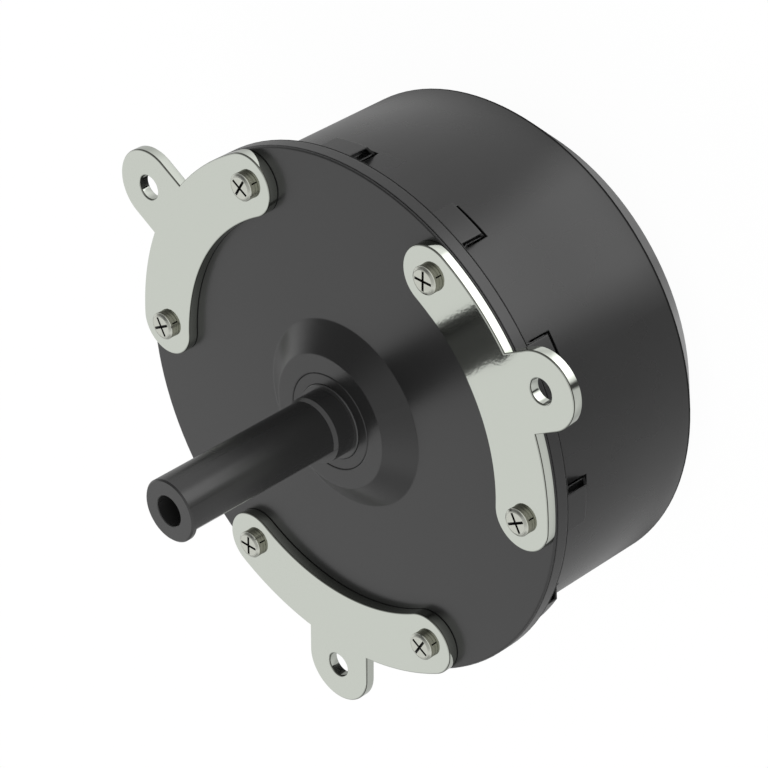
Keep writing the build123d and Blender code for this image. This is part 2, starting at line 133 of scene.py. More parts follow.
def lathe(profile, steps):
    """Closed (radius, height) profile turned about Z. A point on the axis becomes one vertex."""
    verts, rings, faces = [], [], []
    for radius, height in profile:
        if radius < 1e-6:
            rings.append([len(verts)] * steps)
            verts.append((0.0, 0.0, height))
            continue
        rings.append(list(range(len(verts), len(verts) + steps)))
        for i in range(steps):
            angle = math.tau * i / steps
            verts.append((radius * math.cos(angle), radius * math.sin(angle), height))
    count = len(rings)
    for k in range(count):
        low, high = rings[k], rings[(k + 1) % count]
        if low[0] == low[1] and high[0] == high[1]:
            continue
        for i in range(steps):
            j = (i + 1) % steps
            face = [low[i], low[j], high[j], high[i]]
            face = [v for n, v in enumerate(face) if v not in face[:n]]
            faces.append(face)
    return verts, faces


def swept(profile, start, end, steps):
    """Closed (radius, height) profile swept about Z between two angles, with capped ends."""
    verts, faces = [], []
    size = len(profile)
    for step in range(steps + 1):
        angle = math.radians(start + (end - start) * step / steps)
        for radius, height in profile:
            verts.append((radius * math.cos(angle), radius * math.sin(angle), height))
    for step in range(steps):
        for k in range(size):
            a, b = step * size + k, step * size + (k + 1) % size
            faces.append([a, b, b + size, a + size])
    faces.append(list(range(size))[::-1])
    faces.append(list(range(steps * size, steps * size + size)))
    return verts, faces


def joined(parts):
    """Several (verts, faces) as one."""
    verts, faces = [], []
    for some_verts, some_faces in parts:
        offset = len(verts)
        verts.extend(some_verts)
        faces.extend([[v + offset for v in face] for face in some_faces])
    return verts, faces


def placed(part, matrix):
    """(verts, faces) moved by a matrix."""
    verts, faces = part
    return [tuple(matrix @ Vector(v)) for v in verts], faces


def turned(part, angle):
    """(verts, faces) turned about Z by an angle in degrees."""
    return placed(part, Matrix.Rotation(math.radians(angle), 4, "Z"))


def cut_mesh(part, cutters):
    """(verts, faces) of a part with each cutter taken out of it."""
    def plain(name, shape):
        mesh = bpy.data.meshes.new(name)
        mesh.from_pydata(shape[0], [], shape[1])
        mesh.update()
        block = bpy.data.objects.new(name, mesh)
        bpy.context.scene.collection.objects.link(block)
        return block

    target = plain("cut_target", part)
    tools = [plain("cut_tool", cutter) for cutter in cutters]
    for tool in tools:
        modifier = target.modifiers.new("cut", "BOOLEAN")
        modifier.operation = "DIFFERENCE"
        modifier.solver = "EXACT"
        modifier.object = tool
    graph = bpy.context.evaluated_depsgraph_get()
    result = bpy.data.meshes.new_from_object(target.evaluated_get(graph))
    verts = [tuple(v.co) for v in result.vertices]
    faces = [list(face.vertices) for face in result.polygons]
    for used in (target, *tools):
        bpy.data.objects.remove(used)
    bpy.data.meshes.remove(result)
    return verts, faces


# Helpers for materials

def linear(code):
    """sRGB hex value as linear RGBA."""
    channels = [int(code[i:i + 2], 16) / 255 for i in (1, 3, 5)]
    straight = [c / 12.92 if c <= 0.04045 else ((c + 0.055) / 1.055) ** 2.4 for c in channels]
    return (*straight, 1.0)


def shade(colour, share):
    """Linear RGBA colour made darker or lighter by a share."""
    return (*(channel * share for channel in colour[:3]), 1.0)


def add_node(material, kind, options=None, inputs=None, stops=()):
    """Adds a node with its options, its inputs and a ramp's stops.

    An input is a plain value, a socket to link from, or a node whose first output is linked.
    """
    tree = material.node_tree
    node = tree.nodes.new(kind)
    for key, value in (options or {}).items():
        setattr(node, key, value)
    for key, value in (inputs or {}).items():
        if isinstance(value, bpy.types.Node):
            value = value.outputs[0]
        if isinstance(value, bpy.types.NodeSocket):
            tree.links.new(value, node.inputs[key])
        else:
            node.inputs[key].default_value = value
    for number, (position, colour) in enumerate(stops):
        elements = node.color_ramp.elements
        while len(elements) < len(stops):
            elements.new(0.5)
        elements[number].position = position
        elements[number].color = colour
    return node


def link(material, source, target):
    """Links two sockets."""
    material.node_tree.links.new(source, target)


def new_material(name, colour, metallic, roughness):
    """Material with its Principled shader, ready for its patterns."""
    material = bpy.data.materials.new(name)
    material.use_nodes = True
    shader = material.node_tree.nodes["Principled BSDF"]
    shader.inputs["Base Color"].default_value = colour
    shader.inputs["Metallic"].default_value = metallic
    shader.inputs["Roughness"].default_value = roughness
    return material, shader


def grain(material, size_mm, detail=2.0, stretch=(1, 1, 1)):
    """Value from 0 to 1 in grains about size_mm across, in the piece's own coordinates."""
    place = add_node(material, "ShaderNodeTexCoord").outputs["Object"]
    scaled = add_node(material, "ShaderNodeMapping", inputs={"Vector": place, "Scale": stretch})
    pattern = add_node(material, "ShaderNodeTexNoise", inputs={
        "Vector": scaled, "Scale": 1 / (size_mm * MM), "Detail": detail})
    return pattern.outputs["Fac"]


def lines(material, pitch_mm, **options):
    """Value from 0 to 1 in waves pitch_mm apart, in the piece's own coordinates."""
    place = add_node(material, "ShaderNodeTexCoord").outputs["Object"]
    # At scale 1 a wave texture runs through 20 radians in each metre
    pattern = add_node(material, "ShaderNodeTexWave", options, {
        "Vector": place, "Scale": math.tau / (20 * pitch_mm * MM)})
    return pattern.outputs["Fac"]


def tones(material, shader, value, span, dark, pale):
    """Base colour that runs from dark to pale while a value runs through its span."""
    ramp = add_node(material, "ShaderNodeValToRGB", inputs={"Fac": value},
                    stops=[(span[0], dark), (span[1], pale)])
    link(material, ramp.outputs["Color"], shader.inputs["Base Color"])


def sheen(material, shader, value, low, high):
    """Roughness between low and high, following a value from 0 to 1."""
    share = add_node(material, "ShaderNodeMapRange", inputs={"Value": value, "To Min": low, "To Max": high})
    link(material, share.outputs["Result"], shader.inputs["Roughness"])


def relief(material, shader, height, depth_mm, soft_mm=0.0):
    """Bump of a real depth on a shader, over edges that look rounded by soft_mm."""
    bump = add_node(material, "ShaderNodeBump", inputs={"Height": height, "Distance": depth_mm * MM})
    if soft_mm:
        edges = add_node(material, "ShaderNodeBevel", {"samples": 6}, {"Radius": soft_mm * MM})
        link(material, edges.outputs["Normal"], bump.inputs["Normal"])
    link(material, bump.outputs["Normal"], shader.inputs["Normal"])


def curve(material, value, first, last, points):
    """Value read off a curve of (x, y) points between first and last."""
    share = add_node(material, "ShaderNodeMapRange", inputs={
        "Value": value, "From Min": first, "From Max": last})
    ramp = add_node(material, "ShaderNodeValToRGB", inputs={"Fac": share}, stops=[
        ((x - first) / (last - first), (y, y, y, 1.0)) for x, y in points])
    return ramp.outputs["Color"]


# Settings

class MotorSettings(bpy.types.PropertyGroup):
    """Sizes and colours that a user may change."""

    bracket_edge: bpy.props.FloatProperty(
        name="Bracket edge", description="Rounding of the brackets' upper edges",
        default=0.26 * MM, min=0.02 * MM, max=0.9 * MM, precision=5, subtype="DISTANCE")
    coat_colour: bpy.props.FloatVectorProperty(
        name="Coat colour", description="Powder coat on the drum and the cover",
        default=linear("#202020"), size=4, min=0.0, max=1.0, subtype="COLOR")
    shaft_colour: bpy.props.FloatVectorProperty(
        name="Shaft colour", description="Black oxide on the shaft",
        default=linear("#292929"), size=4, min=0.0, max=1.0, subtype="COLOR")
    nickel_colour: bpy.props.FloatVectorProperty(
        name="Nickel colour", description="Bright nickel on the brackets",
        default=linear("#bec2ba"), size=4, min=0.0, max=1.0, subtype="COLOR")
    backdrop_white: bpy.props.FloatProperty(
        name="Backdrop white", description="Brightness of the floor as the camera sees it",
        default=1.018, min=0.9, max=1.1, subtype="FACTOR")


def settings():
    """The settings of the current scene."""
    return bpy.context.scene.hub_motor


# Materials

def powder_coated_aluminium():
    """Die-cast aluminium under a satin black powder coat: a fine even grain and a soft sheen."""
    coat = settings().coat_colour
    material, shader = new_material("powder_coated_aluminium", coat, 0.0, 0.27)
    cloud = grain(material, 14.0, 3.0)
    tones(material, shader, cloud, (0.3, 0.7), shade(coat, 0.9), shade(coat, 1.1))
    sheen(material, shader, cloud, 0.25, 0.3)
    # The coat's grain is about 0.25 mm, drawn at 0.5 mm because finer doesn't show
    relief(material, shader, grain(material, 0.5), 0.004, soft_mm=0.25)
    # A thin dull line where the side meets the rear chamfer
    place = add_node(material, "ShaderNodeTexCoord").outputs["Object"]
    height = add_node(material, "ShaderNodeSeparateXYZ", inputs={"Vector": place}).outputs["Z"]
    corner = CHAMFER_TOP * MM
    line = curve(material, height, corner - MM, corner + MM, [
        (corner - 0.1 * MM, 0.0), (corner, 1.0), (corner + 0.3 * MM, 1.0), (corner + 0.5 * MM, 0.0)])
    dull = add_node(material, "ShaderNodeMapRange", inputs={"Value": line, "To Min": 0.5, "To Max": 0.02})
    link(material, dull.outputs["Result"], shader.inputs["Specular IOR Level"])
    return material


def powder_coated_cover():
    """The same powder coat on the cover's turned face: slightly smoother than on the drum."""
    coat = settings().coat_colour
    material, shader = new_material("powder_coated_cover", coat, 0.0, 0.25)
    cloud = grain(material, 18.0, 3.0)
    tones(material, shader, cloud, (0.3, 0.7), shade(coat, 0.9), shade(coat, 1.05))
    sheen(material, shader, cloud, 0.23, 0.28)
    # The coat's grain is about 0.25 mm, drawn at 0.5 mm because finer doesn't show
    relief(material, shader, grain(material, 0.5), 0.003, soft_mm=0.35)
    return material


def black_oxide_steel():
    """Turned steel with black oxide: darker than the coat, with faint turning lines."""
    material, shader = new_material("black_oxide_steel", settings().shaft_colour, 0.0, 0.27)
    # Turning marks are about 0.2 mm apart, drawn at 0.6 mm because finer doesn't show
    rings = grain(material, 0.6, stretch=(0.04, 0.04, 1.0))
    sheen(material, shader, rings, 0.22, 0.29)
    relief(material, shader, rings, 0.002)
    return material


def nickel_plated_steel():
    """Stamped steel under bright nickel: a pale warm mirror with a faint blasted grain."""
    material, shader = new_material("nickel_plated_steel", settings().nickel_colour, 1.0, 0.1)
    sheen(material, shader, grain(material, 6.0), 0.06, 0.09)
    # The blasted grain is about 0.2 mm, drawn at 0.45 mm because finer doesn't show
    relief(material, shader, grain(material, 0.45), 0.004)
    return material


def edge_painted_shade():
    """Painted shade along the brackets' edges: a thin dark line on the nickel, uneven along its length."""
    material, shader = new_material("edge_painted_shade", linear("#4b4b46"), 1.0, 0.3)
    edge_shade_patches = grain(material, 1.5)
    tones(material, shader, edge_shade_patches, (0.35, 0.65), linear("#444440"), linear("#52524c"))
    sheen(material, shader, edge_shade_patches, 0.26, 0.34)
    return material


def nickel_screw_steel():
    """Cold-headed screw under nickel: greyer than the brackets, with painted shade darkening its creases.
    """
    material, shader = new_material("nickel_screw_steel", linear("#b9bab3"), 1.0, 0.2)
    scale = grain(material, 0.7)
    sheen(material, shader, scale, 0.16, 0.26)
    # Painted shade: ambient occlusion darkens the base colour towards near black in the creases
    crease_painted_shade = add_node(material, "ShaderNodeAmbientOcclusion", {"samples": 8}, {"Distance": 0.35 * MM})
    tones(material, shader, crease_painted_shade.outputs["AO"], (0.4, 0.8), linear("#141310"), linear("#bcbeb5"))
    relief(material, shader, scale, 0.004)
    return material


def side_wall_painted_shade():
    """Sides of the spring washer and of the turned head: painted shade makes them a darker olive than the
    faces.
    """
    material, shader = new_material("side_wall_painted_shade", linear("#96958a"), 1.0, 0.3)
    rings = grain(material, 0.5, stretch=(0.05, 0.05, 1.0))
    sheen(material, shader, rings, 0.25, 0.36)
    return material


def recess_painted_shade():
    """Inside of the screws' recess: a nearly black, patchy painted shade."""
    material, shader = new_material("recess_painted_shade", linear("#0d0c0a"), 0.0, 0.4)
    shade_patches = grain(material, 0.4)
    tones(material, shader, shade_patches, (0.35, 0.65), linear("#0a0908"), linear("#12100d"))
    sheen(material, shader, shade_patches, 0.32, 0.48)
    return material


def ground_bearing_steel():
    """Ground chrome steel: bright, with fine lines round the axis."""
    material, shader = new_material("ground_bearing_steel", linear("#b9bcbf"), 1.0, 0.18)
    rings = grain(material, 0.5, stretch=(0.05, 0.05, 1.0))
    sheen(material, shader, rings, 0.14, 0.24)
    relief(material, shader, rings, 0.003)
    return material


def natural_polyamide():
    """Moulded natural nylon: creamy and satin."""
    material, shader = new_material("natural_polyamide", linear("#d8cfae"), 0.0, 0.45)
    sheen(material, shader, grain(material, 3.0), 0.4, 0.5)
    return material


def nitrile_rubber():
    """Moulded nitrile rubber: dull charcoal with a fine bloom."""
    material, shader = new_material("nitrile_rubber", linear("#1f1f1f"), 0.0, 0.28)
    bloom = grain(material, 0.6, 3.0)
    sheen(material, shader, bloom, 0.26, 0.32)
    relief(material, shader, bloom, 0.002)
    return material


def phosphated_steel():
    """Turned steel sleeve, phosphated: a grey a shade paler than the shaft."""
    material, shader = new_material("phosphated_steel", linear("#323232"), 0.0, 0.25)
    rings = grain(material, 0.5, stretch=(0.05, 0.05, 1.0))
    sheen(material, shader, rings, 0.22, 0.3)
    return material


def zinc_plated_iron():
    """Rolled flux ring, zinc plated: bluish grey with soft mottling."""
    material, shader = new_material("zinc_plated_iron", linear("#8d9297"), 1.0, 0.35)
    mottling = grain(material, 2.5, 3.0)
    tones(material, shader, mottling, (0.35, 0.65), linear("#83888e"), linear("#9a9fa3"))
    return material


def sintered_magnet_nickel():
    """Sintered magnet under nickel: dark silver, with a fine pitted grain."""
    material, shader = new_material("sintered_magnet_nickel", linear("#85888b"), 1.0, 0.32)
    pits = grain(material, 0.5, 3.0)
    sheen(material, shader, pits, 0.26, 0.4)
    relief(material, shader, pits, 0.006)
    return material


def laminated_electrical_steel():
    """Stack of punched sheets: one line for each sheet along the stack."""
    material, shader = new_material("laminated_electrical_steel", linear("#6c7075"), 1.0, 0.42)
    # Sheets are 0.5 mm thick
    sheets = lines(material, 0.5, bands_direction="Z")
    tones(material, shader, sheets, (0.1, 0.5), linear("#4a4d51"), linear("#7a7e83"))
    relief(material, shader, sheets, 0.03)
    return material


def machined_aluminium():
    """Turned aluminium: pale silver with fine tool lines."""
    material, shader = new_material("machined_aluminium", linear("#c9cbcc"), 1.0, 0.28)
    rings = grain(material, 0.4, stretch=(0.05, 0.05, 1.0))
    sheen(material, shader, rings, 0.22, 0.34)
    relief(material, shader, rings, 0.005)
    return material


def glass_filled_nylon():
    """Moulded glass-filled nylon: off-white, dull, with faint fibre streaks."""
    material, shader = new_material("glass_filled_nylon", linear("#dedbcf"), 0.0, 0.5)
    fibres = grain(material, 1.2, 3.0, stretch=(1.0, 0.3, 0.3))
    tones(material, shader, fibres, (0.35, 0.65), linear("#d6d3c6"), linear("#e4e1d6"))
    return material


def enamelled_copper_wire():
    """Wound enamelled wire: amber over copper, one ridge for each turn."""
    material, shader = new_material("enamelled_copper_wire", linear("#b8642c"), 1.0, 0.28)
    # Wire is 0.8 mm with its enamel. It is wound round a radial tooth, so each turn keeps one radius
    turns = lines(material, 0.8, wave_type="RINGS", rings_direction="Z")
    tones(material, shader, turns, (0.05, 0.6), linear("#6b3212"), linear("#c8733a"))
    relief(material, shader, turns, 0.2)
    return material


def solder_masked_board():
    """Glass-epoxy board under green solder mask: glossy, with faint tracks below."""
    material, shader = new_material("solder_masked_board", linear("#14502d"), 0.0, 0.3)
    # Track fields are about 2.3 mm long, and a brick is half a unit long
    tracks = add_node(material, "ShaderNodeTexBrick", inputs={
        "Vector": add_node(material, "ShaderNodeTexCoord").outputs["Object"],
        "Scale": 0.5 / (2.3 * MM), "Color1": linear("#14502d"), "Color2": linear("#195c34"),
        "Mortar": linear("#0f4124")})
    link(material, tracks.outputs["Color"], shader.inputs["Base Color"])
    return material


def moulded_epoxy_package():
    """Moulded epoxy package: near black with a fine even grain."""
    material, shader = new_material("moulded_epoxy_package", linear("#232425"), 0.0, 0.5)
    relief(material, shader, grain(material, 0.4), 0.006)
    return material


made = {}


def finish(maker):
    """The material of that function, made once."""
    if maker not in made:
        made[maker] = maker()
    return made[maker]


def dress(maker, *nodes):
    """Gives CAD nodes their finish."""
    for node in nodes:
        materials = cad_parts[node].data.materials
        materials.clear()
        materials.append(finish(maker))


# Finishes of the solids that stay as they are

class HUBMOTOR_OT_drum(bpy.types.Operator):
    """Coats the drum and its front cover"""
    bl_idname = "hub_motor.drum"
    bl_label = "Drum and cover"

    def execute(self, context):
        dress(powder_coated_aluminium, "housing")
        dress(powder_coated_cover, "front_cover")
        return {"FINISHED"}


class HUBMOTOR_OT_shaft(bpy.types.Operator):
    """Finishes the shaft with its sleeve and seal"""
    bl_idname = "hub_motor.shaft"
    bl_label = "Shaft, sleeve and seal"

    def execute(self, context):
        dress(black_oxide_steel, "shaft")
        dress(phosphated_steel, "spacer_sleeve")
        dress(nitrile_rubber, "dust_seal")
        return {"FINISHED"}


class HUBMOTOR_OT_bearings(bpy.types.Operator):
    """Finishes both ball bearings, the preload spring and the circlips"""
    bl_idname = "hub_motor.bearings"
    bl_label = "Bearings and rings"

    def execute(self, context):
        for end in ("rear", "front"):
            dress(ground_bearing_steel, f"{end}_bearing_inner_ring", f"{end}_bearing_outer_ring",
                  f"{end}_bearing_balls")
            dress(natural_polyamide, f"{end}_bearing_cage")
        dress(ground_bearing_steel, "wave_washer", "retaining_ring_rear", "retaining_ring_stator",
              "retaining_ring_front")
        return {"FINISHED"}


class HUBMOTOR_OT_magnets(bpy.types.Operator):
    """Finishes the flux ring and its magnets"""
    bl_idname = "hub_motor.magnets"
    bl_label = "Magnets"

    def execute(self, context):
        dress(zinc_plated_iron, "back_iron_ring")
        dress(sintered_magnet_nickel, "magnets_north", "magnets_south")
        return {"FINISHED"}


class HUBMOTOR_OT_stator(bpy.types.Operator):
    """Finishes the core, its carrier, the insulators and the twelve coils"""
    bl_idname = "hub_motor.stator"
    bl_label = "Stator"

    def execute(self, context):
        dress(laminated_electrical_steel, "stator_core")
        dress(machined_aluminium, "stator_carrier")
        dress(glass_filled_nylon, "insulator_rear", "insulator_front")
        dress(enamelled_copper_wire, *(f"coil_{number + 1}" for number in range(12)))
        return {"FINISHED"}


class HUBMOTOR_OT_board(bpy.types.Operator):
    """Finishes the sensor board, its chips and its screws"""
    bl_idname = "hub_motor.board"
    bl_label = "Board"

    def execute(self, context):
        dress(solder_masked_board, "sensor_board")
        dress(moulded_epoxy_package, "hall_sensors", "driver_chips")
        dress(ground_bearing_steel, "board_screws")
        return {"FINISHED"}


# Brackets

def on_strap(angle):
    """Point on the strap's centre line at an angle in degrees."""
    turn = math.radians(angle)
    return STRAP_RADIUS * math.cos(turn), STRAP_RADIUS * math.sin(turn)


def bracket_outline():
    """Outline of one bracket about the motor axis, with its ear on +X, counter-clockwise."""
    points = []
    outer = STRAP_RADIUS + STRAP_HALF
    inner = STRAP_RADIUS - STRAP_HALF
    root = math.degrees(math.asin(EAR_RADIUS / outer))

    def arc(x, y, radius, start, end, steps):
        for step in range(steps + 1):
            angle = math.radians(start + (end - start) * step / steps)
            points.append((x + radius * math.cos(angle), y + radius * math.sin(angle)))

    arc(EAR_CENTRE, 0, EAR_RADIUS, -90, 90, 48)
    arc(0, 0, outer, root, STRAP_ANGLE, 24)
    arc(*on_strap(STRAP_ANGLE), STRAP_HALF, STRAP_ANGLE + 4, STRAP_ANGLE + 176, 36)
    arc(0, 0, inner, STRAP_ANGLE, -STRAP_ANGLE, 60)
    arc(*on_strap(-STRAP_ANGLE), STRAP_HALF, 184 - STRAP_ANGLE, 356 - STRAP_ANGLE, 36)
    arc(0, 0, outer, -STRAP_ANGLE, -root, 24)
    return points


def circle_outline(x, y, radius, steps=48):
    """Round hole's outline, clockwise, so that its inset grows the hole."""
    turns = [-math.tau * step / steps for step in range(steps)]
    return [(x + radius * math.cos(turn), y + radius * math.sin(turn)) for turn in turns]


def inset_outline(points, inset):
    """Outline moved inwards by a small distance, with mitred corners."""
    moved = []
    count = len(points)
    for i, point in enumerate(points):
        here = Vector(point)
        before = (here - Vector(points[i - 1])).normalized()
        after = (Vector(points[(i + 1) % count]) - here).normalized()
        side = Vector((-before.y - after.y, before.x + after.x)).normalized()
        reach = max(side.dot(Vector((-before.y, before.x))), 0.5)
        moved.append(tuple(here + side * inset / reach))
    return moved


def plate_part(outlines, levels):
    """Plate with holes: each level is (height, inset), from the lower face to the upper one."""
    verts, faces, rings = [], [], []
    for height, inset in levels:
        ring = []
        for outline in outlines:
            start = len(verts)
            verts.extend((x, y, height) for x, y in inset_outline(outline, inset))
            ring.append(range(start, len(verts)))
        rings.append(ring)
    for low, high in zip(rings, rings[1:]):
        for a, b in zip(low, high):
            count = len(a)
            for i in range(count):
                j = (i + 1) % count
                faces.append([a[i], a[j], b[j], b[i]])
    for ring, upward in ((rings[0], False), (rings[-1], True)):
        flat = [v for outline in ring for v in outline]
        loops = [[Vector((*verts[v][:2], 0)) for v in outline] for outline in ring]
        for triangle in tessellate_polygon(loops):
            a, b, c = (Vector(verts[flat[k]][:2]) for k in triangle)
            left = (b - a).cross(c - a) > 0
            face = [flat[k] for k in triangle]
            faces.append(face if left == upward else face[::-1])
    return verts, faces


def bracket_part(radius):
    """Stamped bracket: rounded upper edge, straight wall, and a small break at the foot."""
    outlines = [bracket_outline(), circle_outline(EAR_CENTRE, 0, EAR_HOLE)]
    for side in (-1, 1):
        outlines.append(circle_outline(*on_strap(side * STRAP_ANGLE), SCREW_HOLE))
    foot = 0.6 * radius
    # A narrow flat ring beside each flat face keeps that face's shading flat
    ring = 0.04
    levels = [(COVER_FACE, foot + ring), (COVER_FACE, foot), (COVER_FACE + foot, 0.0)]
    for step in range(EDGE_STEPS + 1):
        angle = math.radians(90 * step / EDGE_STEPS)
        levels.append((BRACKET_TOP - radius + radius * math.sin(angle), radius - radius * math.cos(angle)))
    levels.append((BRACKET_TOP, radius + ring))
    return plate_part(outlines, levels)


def wall_faces(part, low, high):
    """Numbers of a part's faces that rise and lie wholly between two heights."""
    verts, faces = part
    chosen = []
    for number, face in enumerate(faces):
        heights = [verts[v][2] for v in face]
        if max(heights) - min(heights) > 1e-4 and low <= min(heights) and max(heights) <= high:
            chosen.append(number)
    return chosen


class HUBMOTOR_OT_brackets(bpy.types.Operator):
    """Makes the three polished brackets with their rounded edges"""
    bl_idname = "hub_motor.brackets"
    bl_label = "Brackets"

    def execute(self, context):
        radius = settings().bracket_edge / MM
        part = bracket_part(radius)
        # The foot's break and the outer part of the rounded edge get a dark painted shade
        slack = 0.01
        edge_shade_faces = (wall_faces(part, COVER_FACE - slack, COVER_FACE + radius)
                     + wall_faces(part, BRACKET_TOP - radius - slack, BRACKET_TOP - 0.25 * radius))
        for number in range(3):
            verts, faces = turned(part, 120 * number)
            plate = build_mesh(f"bracket_plate_{number + 1}", verts, faces, "rotor",
                               finish(nickel_plated_steel), sharp=40)
            # A thin dark painted shade line at the foot and on the rounded edge
            tint(plate, finish(edge_painted_shade), edge_shade_faces)
            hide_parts(f"bracket_{number + 1}")
            dress(nickel_plated_steel, f"bracket_{number + 1}")
        return {"FINISHED"}


# Screws

def washer_part():
    """Split spring washer, pressed flat, standing on z = 0 with its split on +X."""
    section = soften([(WASHER_INNER, 0.0, 0.05), (WASHER_RADIUS, 0.0, 0.06),
                      (WASHER_RADIUS, WASHER_TOP, 0.06), (WASHER_INNER, WASHER_TOP, 0.05)], 3)
    return swept(section, WASHER_SPLIT, 360 - WASHER_SPLIT, 72)


def shank_part():
    """Plain shank below the head."""
    neck = 0.65
    return lathe(soften([(0.0, -SHANK_DEPTH, 0), (SHANK_RADIUS, -SHANK_DEPTH, 0.2),
                         (SHANK_RADIUS, neck, 0), (0.0, neck, 0)], 4), 48)


def head_part():
    """Low pan head: straight side, sloped crown, and a fine step round a nearly flat middle."""
    low_break = 0.05
    crown = 2.1
    return lathe(soften([
        (0.0, HEAD_LOW, 0), (HEAD_RADIUS - low_break, HEAD_LOW, 0),
        (HEAD_RADIUS, HEAD_LOW + low_break, 0.02), (HEAD_RADIUS, HEAD_SIDE, 0.06),
        (HEAD_RADIUS - 0.07, HEAD_SIDE + 0.1, 0.04), (crown, HEAD_TOP - 0.03, 0.05),
        (crown - 0.08, HEAD_TOP - 0.06, 0.02), (crown - 0.16, HEAD_TOP - 0.02, 0.02),
        (0.0, HEAD_TOP, 0)], 4), 72)


def recess_part():
    """Cutters of the cross recess: two tapered bars."""
    # Half length, half width and height of the bars' upper and lower ends
    top = (1.9, 0.26, HEAD_TOP + 0.08)
    low = (1.4, 0.14, HEAD_TOP - RECESS_DEPTH)
    verts = [(x * half_length, y * half_width, height) for half_length, half_width, height in (top, low)
             for x, y in ((-1, -1), (1, -1), (1, 1), (-1, 1))]
    faces = [[0, 1, 2, 3], [7, 6, 5, 4], [4, 5, 1, 0], [5, 6, 2, 1], [6, 7, 3, 2], [7, 4, 0, 3]]
    return [turned((verts, faces), turn) for turn in (0, 90)]


def faces_between(part, inner, outer, low, high):
    """Numbers of a part's faces that lie wholly between two radii and two heights."""
    verts, faces = part
    return [number for number, face in enumerate(faces)
            if all(inner < math.hypot(*verts[v][:2]) < outer and low < verts[v][2] < high for v in face)]


def recess_faces(screw):
    """Numbers of the recess's own faces, which lie inside the crown and reach well below it."""
    crown_inside, slack, dip = 2.0, 0.02, 0.07
    inside = faces_between(screw, -1.0, crown_inside, HEAD_TOP - RECESS_DEPTH - slack, math.inf)
    verts, faces = screw
    return [number for number in inside if min(verts[v][2] for v in faces[number]) < HEAD_TOP - dip]


class HUBMOTOR_OT_screws(bpy.types.Operator):
    """Makes the six screws with their recesses and split washers"""
    bl_idname = "hub_motor.screws"
    bl_label = "Screws"

    def execute(self, context):
        screw = joined([shank_part(), cut_mesh(head_part(), recess_part())])
        washer = washer_part()
        recess = recess_faces(screw)
        # Sides of the washer and of the head, but not the head's rounded shoulder, which get a darker
        # painted shade
        side = faces_between(joined([screw, washer]), WASHER_RADIUS - 0.1, math.inf, -1.0, HEAD_SIDE)
        for number in range(6):
            angle = STRAP_ANGLE + 60 * number
            stand = Matrix.Translation((*on_strap(angle), BRACKET_TOP))
            spin = Matrix.Rotation(math.radians(angle + RECESS_TURN), 4, "Z")
            verts, faces = joined([placed(screw, stand @ spin), placed(washer, stand)])
            piece = build_mesh(f"screw_detail_{number + 1}", verts, faces, "rotor",
                               finish(nickel_screw_steel), sharp=30)
            # The side walls get a darker olive painted shade
            tint(piece, finish(side_wall_painted_shade), side)
            # The recess's faces get a near-black painted shade
            tint(piece, finish(recess_painted_shade), recess)
            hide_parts(f"screw_{number + 1}")
            dress(nickel_plated_steel, f"screw_{number + 1}")
        return {"FINISHED"}


# Stage

# Brightness of the floor in reflections, as (degrees round the axis, brightness) and as (metres
# from the axis, share): a wide pool, a narrow one at the drum's foot that the rear chamfer shows,
# and a dark strip farther out that only the ears' walls show
POOL_SECTOR = [(-180, 0.4), (-90, 0.52), (-40, 0.64), (-3, 0.55), (11, 1.95), (38, 1.95), (50, 0.98),
               (80, 0.85), (115, 0.52), (150, 0.45), (180, 0.4)]
POOL_REACH = [(0.046, 0.25), (0.055, 1.1), (0.064, 1.08), (0.080, 0.95), (0.110, 1.4)]
FOOT_SECTOR = [(-75, 0.0), (-50, 0.6), (-8, 0.6), (8, 0.0)]
FOOT_REACH = [(0.049, 1.0), (0.053, 0.0)]
STRIP_SECTOR = [(-14, 0.0), (-10, 0.9), (-5, 0.9), (-1, 0.0)]
STRIP_REACH = [(0.107, 0.0), (0.110, 1.0)]

# White room and what dims it: the direction in degrees of azimuth and elevation, the angles from it
# at which the shade starts and is full, and the share of light that is left
ROOM_LIGHT = 1.07
SHADES = (
    (112.0, 45.0, 51.68, 14.07, 0.2243),
    (0.0, 90.0, 43.95, 14.07, 0.6),
    (235.0, 12.0, 38.74, 14.07, 0.5),
)


def floor_glow(material):
    """Brightness of the floor in reflections, from the place on the floor."""
    place = add_node(material, "ShaderNodeTexCoord").outputs["Object"]
    axes = add_node(material, "ShaderNodeSeparateXYZ", inputs={"Vector": place})
    around = add_node(material, "ShaderNodeMath", {"operation": "ARCTAN2"}, {
        0: axes.outputs["Y"], 1: axes.outputs["X"]})
    turn = add_node(material, "ShaderNodeMath", {"operation": "DEGREES"}, {0: around})
    away = add_node(material, "ShaderNodeVectorMath", {"operation": "LENGTH"}, {0: place})

    def area(sector, reach):
        return add_node(material, "ShaderNodeMath", {"operation": "MULTIPLY"}, {
            0: curve(material, turn, -180, 180, sector),
            1: curve(material, away.outputs["Value"], 0.0, 0.12, reach)})

    lit = add_node(material, "ShaderNodeMath", {"operation": "ADD"}, {
        0: area(POOL_SECTOR, POOL_REACH), 1: area(FOOT_SECTOR, FOOT_REACH)})
    left = add_node(material, "ShaderNodeMath", {"operation": "SUBTRACT"}, {
        0: 1.0, 1: area(STRIP_SECTOR, STRIP_REACH)})
    return add_node(material, "ShaderNodeMath", {"operation": "MULTIPLY"}, {0: lit, 1: left})


